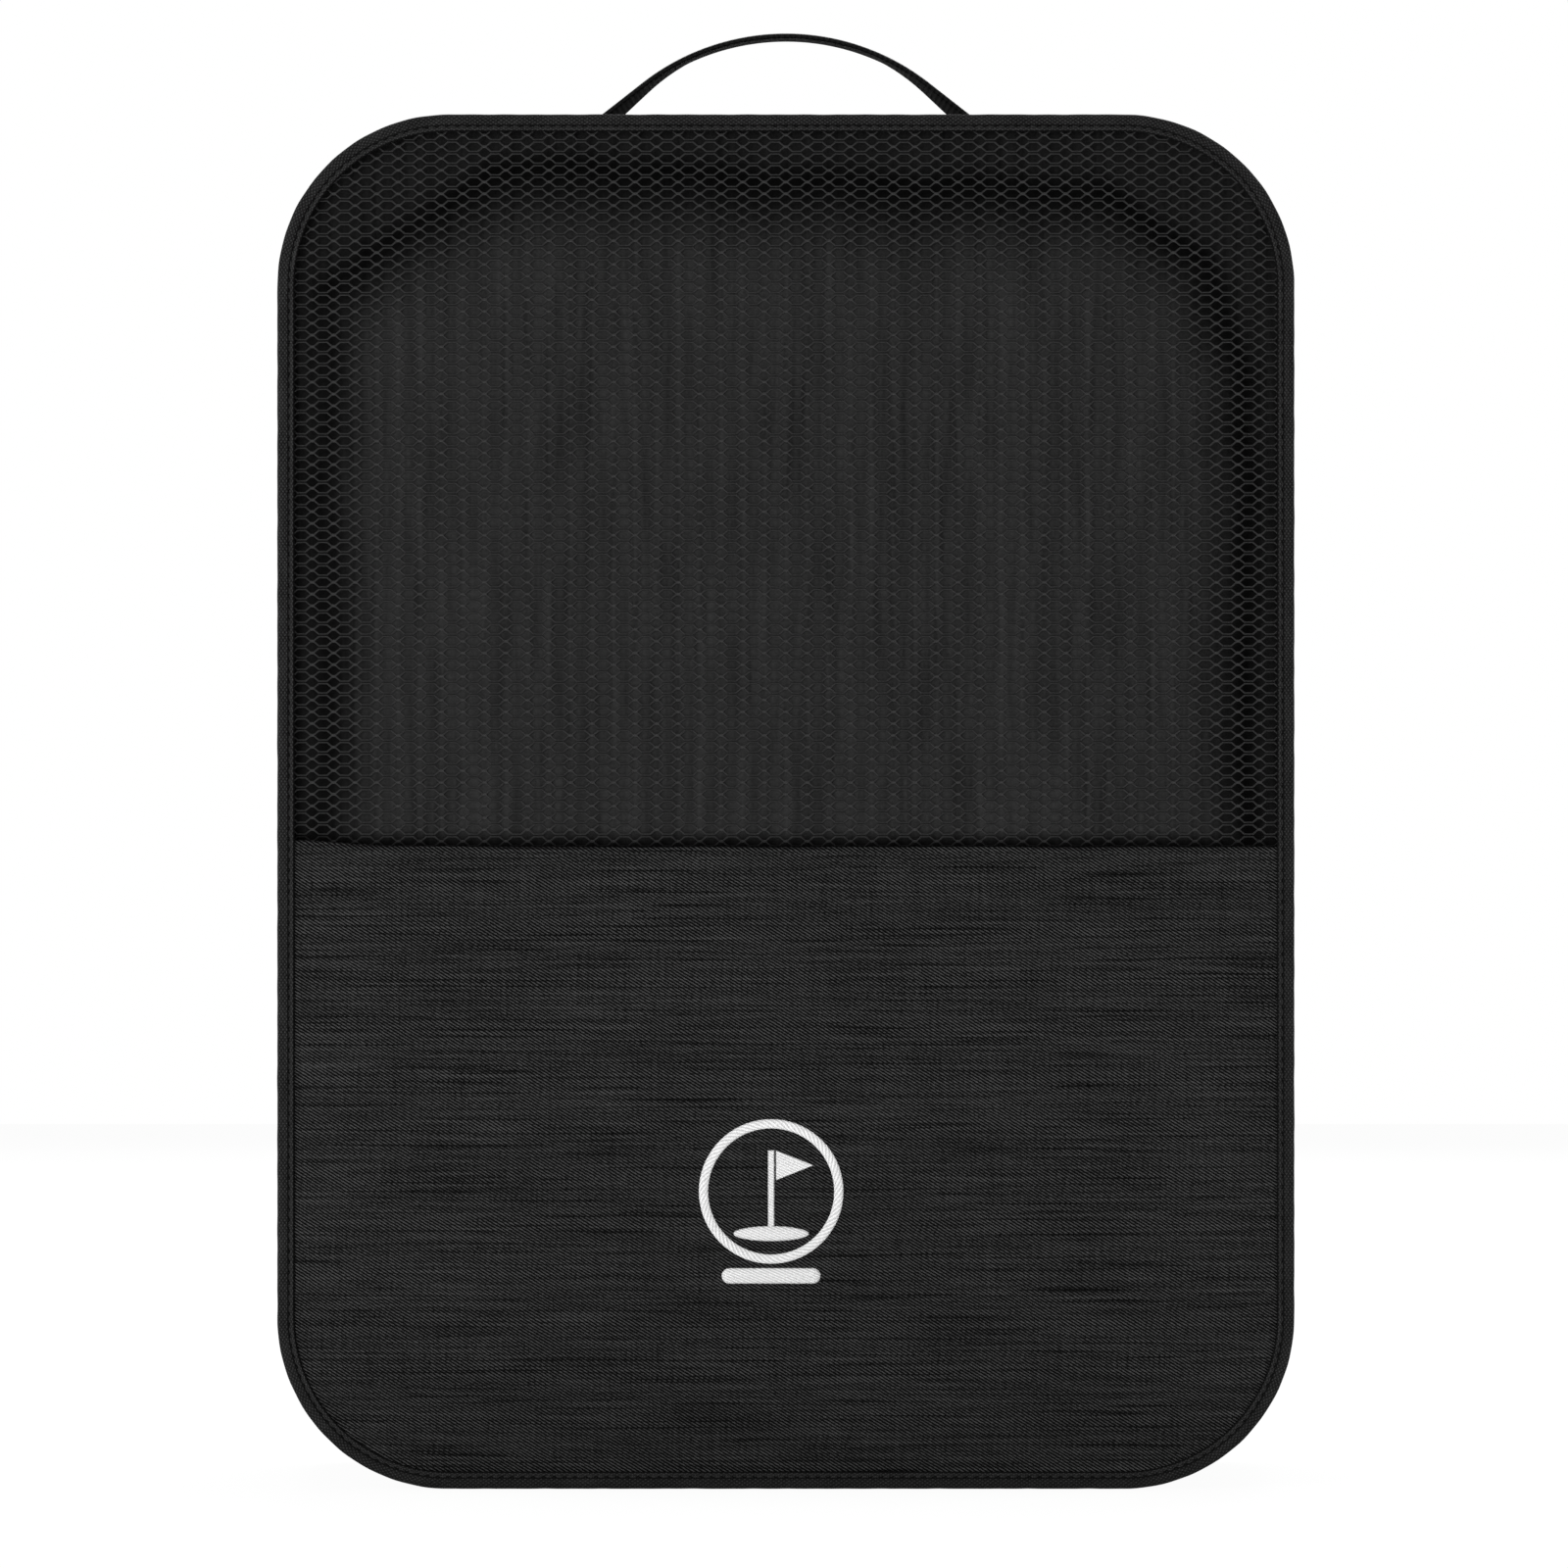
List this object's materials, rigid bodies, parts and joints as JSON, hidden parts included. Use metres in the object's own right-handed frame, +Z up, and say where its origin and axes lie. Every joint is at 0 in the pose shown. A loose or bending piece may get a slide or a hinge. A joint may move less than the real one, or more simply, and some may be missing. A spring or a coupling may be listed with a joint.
{
  "type": "shoe bag",
  "caption": "Boxy padded shoe bag with a mesh window over a plain lower panel, a zip round three sides, bound edges and a webbing handle on top.",
  "frame": {"origin": "centre of the footprint, on the surface the bag stands on", "axes": "+Z up, +X to the right of someone facing the window, +Y towards the back, so the window faces -Y"},
  "size_m": [0.222, 0.12, 0.3208],
  "materials": {
    "gusset_twill": "woven heather twill, matt",
    "panel_twill": "woven heather twill, matt",
    "foam": "closed-cell foam, matt",
    "backing_cloth": "soft knit over foam, matt",
    "lining_cloth": "thin plain-weave lining, matt",
    "binding_tape": "ribbed grosgrain tape, matt",
    "cord_filler": "twisted filler cord, matt",
    "zip_tape": "woven zip tape, matt",
    "zip_teeth": "nylon coil, satin",
    "divider_cloth": "padded divider cloth, matt",
    "hook_tape": "hook tape, matt",
    "loop_tape": "loop pile, matt",
    "webbing": "ribbed webbing, matt",
    "mesh": "knitted spacer mesh, matt",
    "embroidery": "satin-stitch thread, slight sheen",
    "slider_metal": "black enamel, satin",
    "pull_metal": "black enamel, satin"
  },
  "bodies": {
    "shell": {"side_gusset": "gusset_twill", "side_gusset_foam": "foam", "side_gusset_lining": "lining_cloth", "bottom_gusset": "gusset_twill", "bottom_gusset_foam": "foam", "bottom_gusset_lining": "lining_cloth", "mouth_binding": "binding_tape", "sill_binding": "binding_tape", "shell_zip_tape": "zip_tape", "shell_zip_teeth": "zip_teeth", "zip_end_tab_right": "binding_tape", "zip_end_tab_left": "binding_tape", "back_panel": "panel_twill", "back_panel_foam": "foam", "back_panel_lining": "lining_cloth", "rear_binding": "binding_tape", "rear_binding_cord": "cord_filler", "hinge_strip": "gusset_twill", "divider_panel": "divider_cloth", "divider_hook_strips": "hook_tape", "lining_loop_strips": "loop_tape", "handle_foot_right": "webbing", "handle_foot_left": "webbing"},
    "front_cover": {"front_binding": "binding_tape", "front_binding_cord": "cord_filler", "lower_panel": "panel_twill", "lower_panel_foam": "foam", "mesh_window": "mesh", "window_backing": "backing_cloth", "cover_lining": "lining_cloth", "cover_zip_tape": "zip_tape", "cover_zip_teeth": "zip_teeth", "emblem_ring": "embroidery", "emblem_flag": "embroidery", "emblem_bar": "embroidery"},
    "slider_right": {"zip_slider_right": "slider_metal"},
    "slider_left": {"zip_slider_left": "slider_metal"},
    "pull_right": {"pull_tab_right": "pull_metal"},
    "pull_left": {"pull_tab_left": "pull_metal"},
    "handle": {"handle_strap": "webbing"}
  },
  "joints": [
    {"name": "cover_open", "type": "hinge", "parent": "shell", "child": "front_cover", "pos_m": [0, -0.0575, 0.0025], "axis": [1, 0, 0], "range_deg": [0, 90], "deforming": ["hinge_strip"]},
    {"name": "handle_swing", "type": "hinge", "parent": "shell", "child": "handle", "pos_m": [0, 0, 0.306], "axis": [1, 0, 0], "range_deg": [-75, 75], "stiffness_Nm_per_rad": 0.01, "deforming": ["handle_foot_right", "handle_foot_left"]},
    {"name": "slider_right_run", "type": "slide", "parent": "shell", "child": "slider_right", "axis": [1, 0, 0], "range_m": [0, 0.062]},
    {"name": "slider_left_run", "type": "slide", "parent": "shell", "child": "slider_left", "axis": [-1, 0, 0], "range_m": [0, 0.062]},
    {"name": "pull_right_flip", "type": "hinge", "parent": "slider_right", "child": "pull_right", "pos_m": [0.0047, -0.044, 0.2999], "axis": [0, -1, 0], "range_deg": [0, 120]},
    {"name": "pull_left_flip", "type": "hinge", "parent": "slider_left", "child": "pull_left", "pos_m": [-0.0047, -0.044, 0.2999], "axis": [0, 1, 0], "range_deg": [0, 120]}
  ]
}
